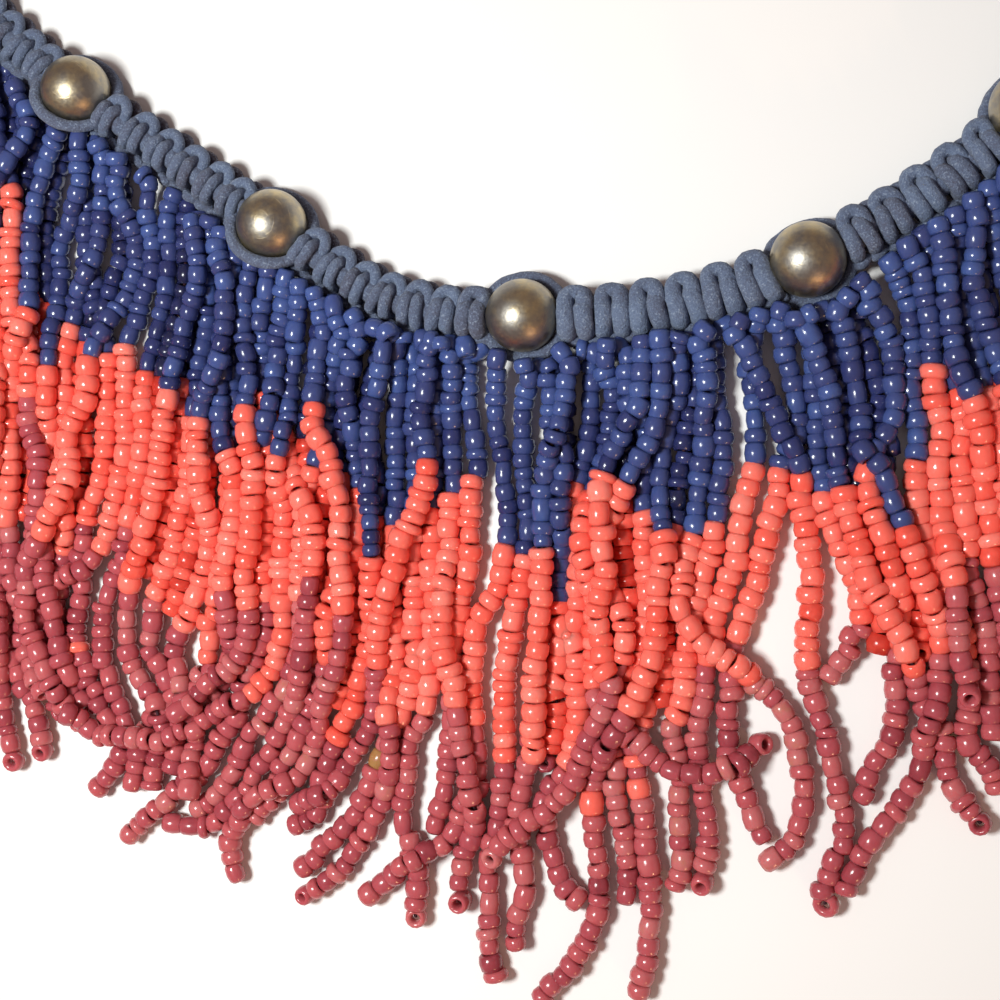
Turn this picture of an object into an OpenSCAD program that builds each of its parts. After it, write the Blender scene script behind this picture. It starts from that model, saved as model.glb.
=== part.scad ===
/* [Neck loop] */
// Size of the whole neck loop, in percent of the drawn one
loop_size = 100; // [96:1:106]

/* [Knotted band] */
// Width of the band, from its inner to its outer edge
band_w = 5.6; // [5:0.1:6]
// Thickness of the band where it lies on the table
band_t = 4.6; // [4:0.1:5]
// Length that one square knot takes along the band
knot_pitch = 3.6; // [3:0.1:4.5]
// Depth of the groove between two knots
knot_groove = 0.55; // [0.3:0.05:0.8]
// Diameter of the cord that the band is knotted from
cord_d = 1.5; // [1.3:0.1:1.6]

/* [Brass beads] */
// Diameter of a brass bead
bead_d = 8; // [7:0.1:8.2]
// Diameter of the hole through a brass bead
bead_hole = 2.1; // [2:0.1:2.6]

/* [Bead fringe] */
// Length of the navy stretch of a strand
navy_len = 20; // [14:1:24]
// Length of the coral stretch of a strand
coral_len = 23; // [14:1:26]
// Length of the brick red stretch of a strand
brick_len = 24; // [14:1:26]
// Distance along the band from one lock of strands to the next
lock_pitch = 4.6; // [4.4:0.1:5.2]
// Diameter of a seed bead
seed_d = 2.6; // [2.4:0.1:2.7]

/* [Clasp] */
// Length of the clasp
clasp_l = 17; // [15:1:22]
// Width of the clasp
clasp_w = 7.6; // [7.4:0.1:10]
// Height of the clasp
clasp_h = 5; // [4.8:0.1:6]

/* [Hidden] */

// Middle line of the band as it lies on the table, going round to the right
// from the brass bead at the middle of the front: [x, y]
LOOP = [
    [3, 20.2], [20, 21.1], [34, 25.2], [47, 32.6], [57, 41], [63, 56], [66.5, 75], [67, 95],
    [62, 116], [49, 136], [28, 149], [-2, 155], [-32, 149.5], [-55, 137], [-69, 117], [-75, 96],
    [-73, 77], [-64, 60], [-50, 47.9], [-38, 39.6], [-25.6, 31.2], [-12, 22.6]
];

// Where the brass beads are, in mm along the band from the middle of the front
BEAD_AT = [-119, -90, -61, -31.5, 0.4, 31.8, 58.5, 88, 117];

// How the fringe hangs: [place along the band, lean of the navy, coral and brick
// stretch in degrees from straight down, spare length at the tip]
HANG = [
    [-135, -50, -42, -36, 0],
    [-112, -26, -22, -18, 1],
    [-92,    4,   4,   4, 3],
    [-76,    6,   4,   3, 2],
    [-66,   -8,   0,  -4, 0],
    [-52,   -8,  -8,   3, 0],
    [-38,   -7,  -9,   1, 1],
    [-30,   -4,   2, -20, 4],
    [-22,   -6,   0, -26, 4],
    [-12,   -3,  -8, -24, 1],
    [-4,     2,  -8, -10, 2],
    [4,      0,  -5,  -5, 2],
    [14,    -6,  -2,  -1, 4],
    [22,     5,  -3,   2, 0],
    [30,     8,   6,   2, 0],
    [40,    10,  11,   5, 0],
    [56,    13,  10,   9, 0],
    [80,    22,  18,  15, 0],
    [104,   34,  29,  25, 0],
    [135,   50,  43,  37, 0]
];

// Places along a lock of strands, from the band to the tip:
// [share of the stretch, seed beads across, seed beads high]
NAVY_SHAPE = [[0, 1.75, 1.3], [0.5, 1.95, 1.6], [1, 1.95, 1.7]];
CORAL_SHAPE = [[0.5, 2, 1.7], [1, 1.9, 1.6]];
BRICK_SHAPE = [[0.5, 1.8, 1.5], [0.9, 1.35, 1.1], [1, 0.9, 0.8]];

fringe_end = 134;       // how far the fringe goes along the band to each side
air = 0.15;             // gap between neighbouring pieces
bead_r = bead_d / 2;
bead_room = bead_r + 0.5; // from a brass bead's middle to the knots beside it
inner_arch_z = 1.6;     // height of the cord round a brass bead's inner side
outer_arch_z = 1.2;     // and round its outer side
arch_end_z = 3.2;
arch_span = 75;         // degrees from the middle of that cord to each end
head_w = 1.4;           // width of the cord that the strands hang from
head_gap = 0.4;         // from the band to that cord
bead_bulge = 1.9;       // how far that cord swings out round a brass bead
band_z = band_t / 2;
band_end = [4.4, 3.2];  // width and thickness of the bound ends of the band
socket_l = 3;           // depth of the clasp's two sockets
clasp_gap = 0.6;        // from the last knots to the clasp
clasp_corner = 1.2;
origin_shift = [3.8, -51.5]; // puts the origin under the middle of the whole

// The loop as a closed smooth curve, with the length along it
STEPS = 6;
loop_n = len(LOOP);

function spline(a, b, c, d, t) =
    0.5 * (2 * b + (c - a) * t + (2 * a - 5 * b + 4 * c - d) * t * t
        + (3 * b - a - 3 * c + d) * t * t * t);

LINE = [
    for (k = [0:loop_n * STEPS])
        let (i = floor(k / STEPS), t = (k % STEPS) / STEPS)
        spline(LOOP[(i + loop_n - 1) % loop_n], LOOP[i % loop_n], LOOP[(i + 1) % loop_n],
            LOOP[(i + 2) % loop_n], t) * loop_size / 100
];

function lengths(k = 1, sum = 0, out = [0]) =
    k >= len(LINE) ? out :
    let (next = sum + norm(LINE[k] - LINE[k - 1])) lengths(k + 1, next, concat(out, [next]));

ALONG = lengths();
loop_len = ALONG[len(ALONG) - 1];
LOOP_X = [for (k = [0:len(LINE) - 1]) [ALONG[k], LINE[k].x]];
LOOP_Y = [for (k = [0:len(LINE) - 1]) [ALONG[k], LINE[k].y]];

function wrap(s) = s < 0 ? s + loop_len : s > loop_len ? s - loop_len : s;
function unit(v) = v / norm(v);
function on_loop(s) = [lookup(wrap(s), LOOP_X), lookup(wrap(s), LOOP_Y)];
function along(s) = unit(on_loop(s + 1.5) - on_loop(s - 1.5));
function outward(s) = [along(s).y, -along(s).x];

// Distance to the nearest brass bead, and how far the band is lifted to its hole
function to_bead(s) = min([for (b = BEAD_AT) abs(s - b)]);
function ease(d, near, far) = d <= near ? 1 : d >= far ? 0 : (1 + cos(180 * (d - near) / (far - near))) / 2;
function lift(s) = (bead_r - band_z) * ease(to_bead(s), bead_room, bead_room + 7);

// Where the knots end on each side of the clasp, and the direction of the clasp
knots_end = (loop_len - clasp_l) / 2 - clasp_gap;
clasp_way = unit(on_loop(-knots_end) - on_loop(knots_end));

// Rings of points joined into one closed solid
module sweep(rings) {
    n = len(rings);
    m = len(rings[0]);
    polyhedron(
        points = [for (r = rings) each r],
        faces = concat(
            [for (i = [0:n - 2], j = [0:m - 1])
                [i * m + j, i * m + (j + 1) % m, (i + 1) * m + (j + 1) % m, (i + 1) * m + j]],
            [[for (j = [m - 1:-1:0]) j]],
            [[for (j = [0:m - 1]) (n - 1) * m + j]]
        ),
        convexity = 6
    );
}

// One ring across the band: w wide, t thick, middle at height z
function band_ring(s, w, t, z) =
    let (c = on_loop(s), n = outward(s))
    [for (p = [[-0.5, 0.2], [-0.5, -0.2], [-0.28, -0.5], [0.28, -0.5],
            [0.5, -0.2], [0.5, 0.2], [0.28, 0.5], [-0.28, 0.5]])
        [c.x + n.x * p.x * w, c.y + n.y * p.x * w, z + p.y * t]];

// A run of square knots from place a to place b
module knotted_run(a, b) {
    knots = max(1, round((b - a) / knot_pitch));
    pitch = (b - a) / knots;
    sweep([
        for (k = [0:2 * knots])
            let (s = a + k * pitch / 2, groove = k % 2 == 0 ? knot_groove : 0)
            band_ring(s, band_w - 2 * groove, band_t - 2 * groove, band_z + lift(s))
    ]);
}

// Cord tucked under one side of a brass bead (side -1 is the inner one), at height low
// in the middle and rising into the band at its ends
module bead_arch(s, side, low) {
    touch = bead_r + air + cord_d / 2;
    c = on_loop(s);
    t = along(s);
    n = outward(s);
    sweep([
        for (a = [-arch_span:arch_span / 2.5:arch_span])
            let (
                z = low + (arch_end_z - low) * (1 - cos(a)) / (1 - cos(arch_span)),
                out = sin(a) * t + side * cos(a) * n,
                middle = c + sqrt(touch * touch - (bead_r - z) * (bead_r - z)) * out,
                turn = side * 60
            )
            [for (k = [0:5])
                let (u = cos(turn * k) * cord_d / 2, v = sin(turn * k) * cord_d / 2)
                [middle.x + out.x * u, middle.y + out.y * u, z + v]]
    ]);
}

// Cords that pass a brass bead: under its inner side, under its outer side, and through it
module bead_cords(s) {
    bead_arch(s, -1, inner_arch_z);
    bead_arch(s, 1, outer_arch_z);
    c = on_loop(s);
    t = along(s);
    hull() for (k = [-1, 1])
        translate([c.x + k * t.x * (bead_room + 1), c.y + k * t.y * (bead_room + 1), bead_r])
            rotate([0, k * 90, atan2(t.y, t.x)]) cylinder(d1 = cord_d, d2 = cord_d / 2, h = 0.4, $fn = 8);
}

// Bound end of the band, tapered, which goes into the clasp from place s on the loop
module bound_end(s, way) {
    // [distance from the end of the knots, taper]
    hull() for (end = [[-0.4, 0], [clasp_gap + socket_l - air, 0.3]]) {
        c = on_loop(s) + way * end[0] * clasp_way;
        translate([c.x, c.y, clasp_h / 2]) rotate([0, 0, atan2(clasp_way.y, clasp_way.x)])
            cube([0.2, band_end[0] - end[1], band_end[1] - end[1]], center = true);
    }
}

module macrame_band() {
    last = len(BEAD_AT) - 1;
    color("slategray") translate(origin_shift) {
        for (k = [0:last - 1])
            knotted_run(BEAD_AT[k] + bead_room, BEAD_AT[k + 1] - bead_room);
        knotted_run(BEAD_AT[last] + bead_room, knots_end);
        knotted_run(-knots_end, BEAD_AT[0] - bead_room);
        for (s = BEAD_AT) bead_cords(s);
        bound_end(knots_end, 1);
        bound_end(-knots_end, -1);
    }
}

module brass_bead(k) {
    s = BEAD_AT[k - 1];
    c = on_loop(s);
    t = along(s);
    color("darkgoldenrod") translate(origin_shift) translate([c.x, c.y, bead_r])
        rotate([0, 90, atan2(t.y, t.x)])
            rotate_extrude($fn = 64) intersection() {
                circle(d = bead_d, $fn = 96);
                translate([bead_hole / 2, -bead_r]) square(bead_d);
            }
}

// Course of one lock of strands on the table
function hang(s, column) = lookup(s, [for (row = HANG) [row[0], row[column]]]);
function stray(s, k) = 4 * sin(131 * s + 97 * k);
function heading(s, k) = let (a = hang(s, k) + stray(s, k)) [sin(a), -cos(a)];
function edge(s) = (band_w + head_w) / 2 + head_gap + bead_bulge * ease(to_bead(s), 2.5, 7.5);
function root(s) = on_loop(s) + edge(s) * outward(s);
function navy_end(s) = root(s) + (navy_len + stray(s, 4) / 2) * heading(s, 1);
function coral_end(s) = navy_end(s) + coral_len * heading(s, 2);
function tip(s) = coral_end(s) + (brick_len + hang(s, 4)) * heading(s, 3);

// One ring across a lock: flat on the table below, rounded above
function lock_ring(p, dir, w, h) =
    [for (q = [[-0.32, 0], [-0.5, 0.4], [-0.27, 1], [0.27, 1], [0.5, 0.4], [0.32, 0]])
        [p.x - dir.y * q.x * w * seed_d, p.y + dir.x * q.x * w * seed_d, q.y * h * seed_d]];

module lock(s) {
    navy = heading(s, 1);
    coral = heading(s, 2);
    brick = heading(s, 3);
    // [start, end, direction at the start, direction at the end, shape]
    stretches = [
        [root(s), navy_end(s), outward(s), unit(navy + coral), NAVY_SHAPE],
        [navy_end(s), coral_end(s), unit(navy + coral), unit(coral + brick), CORAL_SHAPE],
        [coral_end(s), tip(s), unit(coral + brick), brick, BRICK_SHAPE]
    ];
    sweep([
        for (st = stretches, row = st[4])
            let (u = row[0])
            lock_ring(st[0] * (1 - u) + st[1] * u, unit(st[2] * (1 - u) + st[3] * u), row[1], row[2])
    ]);
}

// The head of the fringe: a cord along the lower edge of the band
module head_stretch(a, b) {
    hull() for (s = [a, b])
        translate([root(s).x, root(s).y, 0.3]) cylinder(d = head_w, h = 2.4, $fn = 6);
}

module fringe(first, last) {
    color("tomato") translate(origin_shift) {
        for (k = [first:last - 1]) head_stretch(k * lock_pitch, (k + 1) * lock_pitch);
        for (k = [first:last]) lock(k * lock_pitch);
    }
}

locks_each_side = floor(fringe_end / lock_pitch);
module fringe_left() { fringe(-locks_each_side, -1); }
module fringe_right() { fringe(0, locks_each_side); }

// Flat clasp with a socket at each end for the band and a joint line across its middle
module clasp() {
    c = (on_loop(knots_end) + on_loop(-knots_end)) / 2;
    turn = atan2(clasp_way.y, clasp_way.x);
    socket = [socket_l + 1, band_end[0] + 2 * air, band_end[1] + 2 * air];
    color("darkgoldenrod") translate(origin_shift) translate([c.x, c.y, 0]) rotate([0, 0, turn])
        difference() {
            linear_extrude(height = clasp_h) {
                square([clasp_l, clasp_w - 2 * clasp_corner], center = true);
                square([clasp_l - 2 * clasp_corner, clasp_w], center = true);
                for (x = [-1, 1], y = [-1, 1])
                    translate([x * (clasp_l / 2 - clasp_corner), y * (clasp_w / 2 - clasp_corner)])
                        circle(r = clasp_corner, $fn = 32);
            }
            translate([-0.3, -clasp_w / 2 - 1, clasp_h - 0.5]) cube([0.6, clasp_w + 2, 1]);
            for (x = [-1, 1])
                translate([x * (clasp_l / 2 - socket_l + socket[0] / 2), 0, clasp_h / 2])
                    cube(socket, center = true);
        }
}

macrame_band();
fringe_left();
fringe_right();
clasp();
for (k = [1:len(BEAD_AT)])
    brass_bead(k);
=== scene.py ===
# Beaded bib necklace: a knotted cotton band with brass beads and a fringe of seed bead strands
import math

import bpy
import numpy as np
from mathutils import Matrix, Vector


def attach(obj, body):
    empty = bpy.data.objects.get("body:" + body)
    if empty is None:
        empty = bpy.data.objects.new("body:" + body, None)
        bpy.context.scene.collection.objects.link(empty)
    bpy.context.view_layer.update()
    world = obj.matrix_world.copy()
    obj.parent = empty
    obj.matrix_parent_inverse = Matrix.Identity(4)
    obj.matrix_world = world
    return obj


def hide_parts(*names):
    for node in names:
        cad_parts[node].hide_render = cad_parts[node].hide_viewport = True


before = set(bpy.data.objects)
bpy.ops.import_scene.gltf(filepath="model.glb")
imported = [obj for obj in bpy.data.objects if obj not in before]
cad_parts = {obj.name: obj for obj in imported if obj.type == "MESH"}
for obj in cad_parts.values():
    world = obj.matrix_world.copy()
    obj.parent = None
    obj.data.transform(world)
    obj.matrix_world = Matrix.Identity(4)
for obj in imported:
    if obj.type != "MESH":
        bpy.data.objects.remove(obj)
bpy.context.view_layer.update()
rng = np.random.default_rng(41)

# Everything below is laid out in mm and made in metres
mm = 0.001
origin = np.array([3.8, -51.5])   # the photo's middle, in the frame

photo = {
    "tilt": 13.0,        # degrees that the camera leans to the right
    "distance": 175.0,   # mm from the middle of the picture
    "pixelsPerMm": 8.9,  # at the middle of the picture
    "size": 1000,        # pixels across
}
tilt = math.radians(photo["tilt"])
focal = photo["pixelsPerMm"] * photo["distance"]


# The point of the frame that a pixel shows at height z (all may be arrays)
def fromPhoto(u, v, z):
    a = u - photo["size"] / 2
    d = photo["distance"]
    across = a * (d - z * math.cos(tilt)) + focal * z * math.sin(tilt)
    x = across / (focal * math.cos(tilt) + a * math.sin(tilt))
    depth = d - x * math.sin(tilt) - z * math.cos(tilt)
    y = (photo["size"] / 2 - v) * depth / focal
    return np.stack([x + origin[0], y + origin[1]], axis=-1)


# The pixel that shows each point
def toPhoto(points):
    x, y, z = points[:, 0] - origin[0], points[:, 1] - origin[1], points[:, 2]
    depth = photo["distance"] - x * math.sin(tilt) - z * math.cos(tilt)
    u = photo["size"] / 2 + focal * (x * math.cos(tilt) - z * math.sin(tilt)) / depth
    return np.stack([u, photo["size"] / 2 - focal * y / depth], axis=-1)


def addCamera():
    data = bpy.data.cameras.new("camera")
    data.sensor_width = 36
    data.lens = focal / photo["size"] * data.sensor_width
    data.clip_start = 0.005
    camera = bpy.data.objects.new("camera", data)
    reach = photo["distance"] * mm
    camera.location = (origin[0] * mm + reach * math.sin(tilt), origin[1] * mm, reach * math.cos(tilt))
    camera.rotation_euler = (0, tilt, 0)
    bpy.context.scene.collection.objects.link(camera)
    bpy.context.scene.camera = camera


addCamera()
print("camera set")


# The steps of a line of points, seen from above, and the length that each point has reached
def stepLengths(line):
    return np.linalg.norm(np.diff(line[:, :2], axis=0), axis=1)


def lengthAlong(line):
    return np.concatenate([[0], np.cumsum(stepLengths(line))])


def lineLength(line):
    return stepLengths(line).sum()


# The same directions, each of length 1
def unit(directions):
    return directions / np.linalg.norm(directions, axis=-1, keepdims=True)


# Middle line of the band from the photo's middle, going round to the right from the middle
# brass bead: [x, y]
bandLine = [
    [3, 20.2], [20, 21.1], [34, 25.2], [47, 32.6], [57, 41], [63, 56], [66.5, 75], [67, 95],
    [62, 116], [49, 136], [28, 149], [-2, 155], [-32, 149.5], [-55, 137], [-69, 117], [-75, 96],
    [-73, 77], [-64, 60], [-50, 47.9], [-38, 39.6], [-25.6, 31.2], [-12, 22.6]
]
lineSteps = 6         # from one of these points to the next
beadAt = [-119, -90, -61, -31.5, 0.4, 31.8, 58.5, 88, 117]   # brass beads, mm along the band
brassRadius = 4.0


# The closed smooth line of the band, with the length along it
def traceBand():
    points = np.array(bandLine, float)
    rows = []
    for k in range(len(points) * lineSteps + 1):
        i = k // lineSteps
        t = (k % lineSteps) / lineSteps
        a, b, c, d = [points[(i + j) % len(points)] for j in (-1, 0, 1, 2)]
        rows.append(0.5 * (2 * b + (c - a) * t + (2 * a - 5 * b + 4 * c - d) * t * t
                           + (3 * b - a - 3 * c + d) * t ** 3))
    rows = np.array(rows) + origin
    return rows, lengthAlong(rows)


bandPoints, bandReach = traceBand()
bandLength = bandReach[-1]


def onBand(s):
    s = np.mod(s, bandLength)
    return np.stack([np.interp(s, bandReach, bandPoints[:, k]) for k in (0, 1)], axis=-1)


def alongBand(s, step=1.5):
    return unit(onBand(np.asarray(s) + step) - onBand(np.asarray(s) - step))


def outOfBand(s):
    t = alongBand(s)
    return np.stack([t[..., 1], -t[..., 0]], axis=-1)


# A point beside the band: s along it, c outwards from its middle line, z up
def besideBand(s, c, z):
    s, c, z = np.broadcast_arrays(np.asarray(s, float), c, z)
    xy = onBand(s) + outOfBand(s) * c[..., None]
    return np.concatenate([xy, z[..., None]], axis=-1)


# 1 near a brass bead, falling to 0 away from it
def nearBead(s, near, far):
    distance = np.min([np.abs(np.asarray(s, float) - b) for b in beadAt], axis=0)
    return 0.5 + 0.5 * np.cos(np.pi * np.clip((distance - near) / (far - near), 0, 1))


# A mesh from arrays of points and faces, in mm
def addMesh(name, points, faceSets, tone=None):
    corners = np.concatenate([faces.ravel() for faces in faceSets])
    counts = np.concatenate([np.full(len(faces), faces.shape[1]) for faces in faceSets])
    mesh = bpy.data.meshes.new(name)
    mesh.vertices.add(len(points))
    mesh.vertices.foreach_set("co", (points * mm).astype(np.float32).ravel())
    mesh.loops.add(len(corners))
    mesh.loops.foreach_set("vertex_index", corners.astype(np.int32))
    mesh.polygons.add(len(counts))
    mesh.polygons.foreach_set("loop_start", (np.cumsum(counts) - counts).astype(np.int32))
    mesh.polygons.foreach_set("use_smooth", np.ones(len(counts), bool))
    if tone is not None:
        layer = mesh.attributes.new("tone", "FLOAT", "POINT")
        layer.data.foreach_set("value", tone.astype(np.float32))
    mesh.update(calc_edges=True)
    piece = bpy.data.objects.new(name, mesh)
    bpy.context.scene.collection.objects.link(piece)
    return piece


# Tubes along lines [tube, point, xyz]; "side" is a direction that never runs along the line
def sweepTubes(lines, radius, sides, side, closed=False):
    if closed:
        ahead = unit(np.roll(lines, -1, axis=1) - np.roll(lines, 1, axis=1))
    else:
        ahead = unit(np.gradient(lines, axis=1))
    across = unit(np.cross(ahead, np.broadcast_to(side, lines.shape)))
    up = np.cross(across, ahead)
    turn = np.arange(sides) * 2 * np.pi / sides
    radius = np.broadcast_to(radius, lines.shape[:2])[..., None, None]
    ring = across[:, :, None] * np.cos(turn)[:, None] + up[:, :, None] * np.sin(turn)[:, None]
    points = lines[:, :, None] + ring * radius
    tubes, rings = lines.shape[:2]
    index = np.arange(tubes * rings * sides).reshape(tubes, rings, sides)
    after = np.roll(index, -1, axis=1) if closed else index[:, 1:]
    start = index if closed else index[:, :-1]
    quads = np.stack([start, np.roll(start, -1, axis=2), np.roll(after, -1, axis=2), after], axis=-1)
    faceSets = [quads.reshape(-1, 4)]
    if not closed:
        faceSets += [index[:, 0, ::-1], index[:, -1]]
    return points.reshape(-1, 3), faceSets


# Several swept sets as one
def joined(sets):
    points, faceSets, count = [], [], 0
    for some, faces in sets:
        points.append(some)
        faceSets += [f + count for f in faces]
        count += len(some)
    return np.concatenate(points), faceSets


def countTriangles(faceSets):
    return sum(len(faces) * (faces.shape[1] - 2) for faces in faceSets)


def finishPiece(piece, slotName, material, *nodes):
    piece.data.materials.append(material)
    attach(piece, "root")
    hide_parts(*nodes)


# Materials: colours as sRGB text, lengths in metres

finishes = {
    "blueGreyCotton": {
        # the first, brownish-purple shade is painted shade, mostly for the arches on the back
        "shades": ["473d45", "53576a", "5f6c86", "6e7e99", "8393ac"],
        "speckGlint": "b6c0ce"
    },
    # in each glass the first, darkest shade is painted shade, taken mostly by the beads of strands under
    # others
    "navyGlass": {
        "shades": ["1c1f40", "2c3262", "394273", "405087", "4c66a2"],
        "glow": 0.2,      # how much light goes into the glass
        "depth": (0.25, 0.35, 1.0)     # and how far red, green and blue go, against each other
    },
    "coralGlass": {
        "shades": ["bb3226", "ee5f50", "f57163", "f98173", "fc9082"],
        "glow": 0.5,
        "depth": (1.0, 0.35, 0.25)
    },
    "brickGlass": {
        "shades": ["581820", "963c46", "ae4e57", "ba585d", "c26d6e", "a37848"],    # the last is tan
        "glow": 0.4,
        "depth": (1.0, 0.3, 0.3)
    },
    "wornBrass": {"tarnished": "928e87", "rubbed": "cab88e", "scratched": "d6c49c"},
    "threadCotton": {"shade": "40202a", "roughness": 0.9},
    "paleFloor": {"shade": "f1f0ee", "roughness": 0.6},
}
glassSurface = {
    "cloudScale": 900.0, "cloudShare": 0.28, "pitScale": 2200.0, "roughness": 0.2, "roughSpread": 0.2,
    "bump": 0.22, "bumpHeight": 0.00015, "glowReach": 0.0007
}
cottonSurface = {
    "fibreScale": 4600.0, "fluffScale": 1500.0, "patchScale": 260.0, "speckGlintShare": 0.38,
    "roughness": 0.86, "sheen": 0.1, "bump": 1.0, "bumpHeight": 0.0003
}
brassSurface = {
    "patchScale": 330.0, "grainScale": 2400.0, "scratchScale": (300.0, 300.0, 5200.0),
    "roughness": 0.43, "roughSpread": 0.3, "bump": 0.16, "bumpHeight": 0.0002
}


# sRGB text such as "24326e" as the linear colour that a socket wants
def colour(text):
    parts = [int(text[i:i + 2], 16) / 255 for i in (0, 2, 4)]
    return tuple(c / 12.92 if c < 0.04045 else ((c + 0.055) / 1.055) ** 2.4 for c in parts) + (1.0,)


# A shader socket that works in plain sums, and adds any other node
class Wire:
    def __init__(self, tree, socket=None):
        self.tree = tree
        self.socket = socket

    def add(self, kind, settings=None, inputs=None, out=0):
        made = self.tree.nodes.new(kind)
        for name, value in (settings or {}).items():
            if name == "stops":
                ramp = made.color_ramp
                while len(ramp.elements) < len(value):
                    ramp.elements.new(0.5)
                for element, (place, shade) in zip(ramp.elements, value):
                    element.position = place
                    element.color = shade
            else:
                setattr(made, name, value)
        for name, value in (inputs or {}).items():
            if isinstance(value, Wire):
                self.tree.links.new(value.socket, made.inputs[name])
            else:
                made.inputs[name].default_value = value
        return Wire(self.tree, made.outputs[out])

    def sum(self, operation, a, b):
        return self.add("ShaderNodeMath", {"operation": operation}, {0: a, 1: b})

    def __add__(self, other):
        return self.sum("ADD", self, other)

    def __radd__(self, other):
        return self.sum("ADD", other, self)

    def __sub__(self, other):
        return self.sum("SUBTRACT", self, other)

    def __rsub__(self, other):
        return self.sum("SUBTRACT", other, self)

    def __mul__(self, other):
        return self.sum("MULTIPLY", self, other)

    def __rmul__(self, other):
        return self.sum("MULTIPLY", other, self)

    def clamped(self):
        return self.add("ShaderNodeClamp", None, {"Value": self, "Min": 0.0, "Max": 1.0})

    def mixed(self, a, b):
        return self.add("ShaderNodeMix", {"data_type": "RGBA"}, {"Factor": self, 6: a, 7: b}, 2)

    def ramp(self, shades):
        stops = [(k / (len(shades) - 1), colour(shade)) for k, shade in enumerate(shades)]
        return self.add("ShaderNodeValToRGB", {"stops": stops}, {"Fac": self})

    def noise(self, place, scale, detail=2.0, rough=0.5):
        inputs = {"Vector": place, "Scale": scale, "Detail": detail, "Roughness": rough}
        return self.add("ShaderNodeTexNoise", None, inputs)

    def bump(self, strength, distance):
        inputs = {"Strength": strength, "Distance": distance, "Height": self}
        return self.add("ShaderNodeBump", None, inputs)

    # where on the piece a point is, and the tone that its mesh gives it, which holds painted light and
    # shade besides each bead's and cord's own random tone
    def place(self):
        return self.add("ShaderNodeTexCoord", out=3)

    def tone(self):
        return self.add("ShaderNodeAttribute", {"attribute_name": "tone"}, out=2)


# A new material, the start of its nodes, and a function that links or sets the shader's sockets
def newMaterial(name):
    made = bpy.data.materials.new(name)
    made.use_nodes = True
    tree = made.node_tree
    surface = tree.nodes["Principled BSDF"]

    def setSocket(socketName, value):
        if isinstance(value, Wire):
            tree.links.new(value.socket, surface.inputs[socketName])
        else:
            surface.inputs[socketName].default_value = value

    return made, Wire(tree), setSocket


# Glossy glass that lets some light into it, each bead of its own shade
def seedGlass(name):
    made, start, setSocket = newMaterial(name)
    looks, values = finishes[name], glassSurface
    place = start.place()
    cloud = start.noise(place, values["cloudScale"], 3.0)
    pits = start.noise(place, values["pitScale"], 3.0, 0.6)
    setSocket("Base Color", (start.tone() + (cloud - 0.5) * values["cloudShare"]).ramp(looks["shades"]))
    setSocket("Roughness", values["roughness"] + (pits - 0.5) * values["roughSpread"])
    setSocket("Normal", (cloud + pits * 0.5).bump(values["bump"], values["bumpHeight"]))
    setSocket("IOR", 1.52)
    setSocket("Subsurface Weight", looks["glow"])
    setSocket("Subsurface Radius", looks["depth"])
    setSocket("Subsurface Scale", values["glowReach"])
    return made


# Matte waxed cotton with pale fibres standing up from it; their pale specks are partly a painted
# highlight of the light caught on the fibres
def waxedCotton(name):
    made, start, setSocket = newMaterial(name)
    looks, values = finishes[name], cottonSurface
    place = start.place()
    fibres = start.noise(place, values["fibreScale"], 3.0, 0.7)
    fluff = start.noise(place, values["fluffScale"], 4.0, 0.65)
    patch = start.noise(place, values["patchScale"])
    shade = start.tone() * 0.8 + patch * 0.25 + fluff * 0.4 + (fibres - 0.5) * 0.9
    # pale specks: the fibres' own paler colour and a painted highlight of light on them
    specksAndGlints = ((fibres - 0.56) * 8.0 + (fluff - 0.5) * 3.0).clamped()
    body = (shade - 0.2).ramp(looks["shades"])
    setSocket("Base Color", (specksAndGlints * values["speckGlintShare"]).mixed(body, colour(looks["speckGlint"])))
    setSocket("Roughness", values["roughness"])
    setSocket("Specular IOR Level", 0.25)
    setSocket("Sheen Weight", values["sheen"])
    setSocket("Sheen Roughness", 0.5)
    setSocket("Normal", (fibres * 0.6 + fluff).bump(values["bump"], values["bumpHeight"]))
    return made


# Dark worn brass: brown tarnish in patches, rubbed brighter here and there, small pits and scratches
def wornBrass(name):
    made, start, setSocket = newMaterial(name)
    looks, values = finishes[name], brassSurface
    place = start.place()
    patches = start.noise(place, values["patchScale"], 4.0, 0.6)
    grain = start.noise(place, values["grainScale"], 3.0, 0.6)
    squashed = start.add("ShaderNodeMapping", None, {"Vector": place, "Scale": values["scratchScale"]})
    scratches = ((start.noise(squashed, 1.0) - 0.66) * 9.0).clamped()
    worn = ((patches - 0.42) * 3.2 + (grain - 0.5) * 0.6).clamped()
    body = worn.mixed(colour(looks["tarnished"]), colour(looks["rubbed"]))
    setSocket("Base Color", (scratches * 0.5).mixed(body, colour(looks["scratched"])))
    setSocket("Metallic", 1.0)
    setSocket("Roughness", values["roughness"] - worn * 0.08 + (grain - 0.5) * values["roughSpread"])
    height = grain * 0.6 + scratches * 0.5 + patches
    setSocket("Normal", height.bump(values["bump"], values["bumpHeight"]))
    return made


def plain(name):
    made, start, setSocket = newMaterial(name)
    setSocket("Base Color", colour(finishes[name]["shade"]))
    setSocket("Roughness", finishes[name]["roughness"])
    return made


cotton = waxedCotton("blueGreyCotton")
glass = [seedGlass(name) for name in ("navyGlass", "coralGlass", "brickGlass")]
brass = wornBrass("wornBrass")
threadCotton = plain("threadCotton")
print("materials ready")

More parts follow.
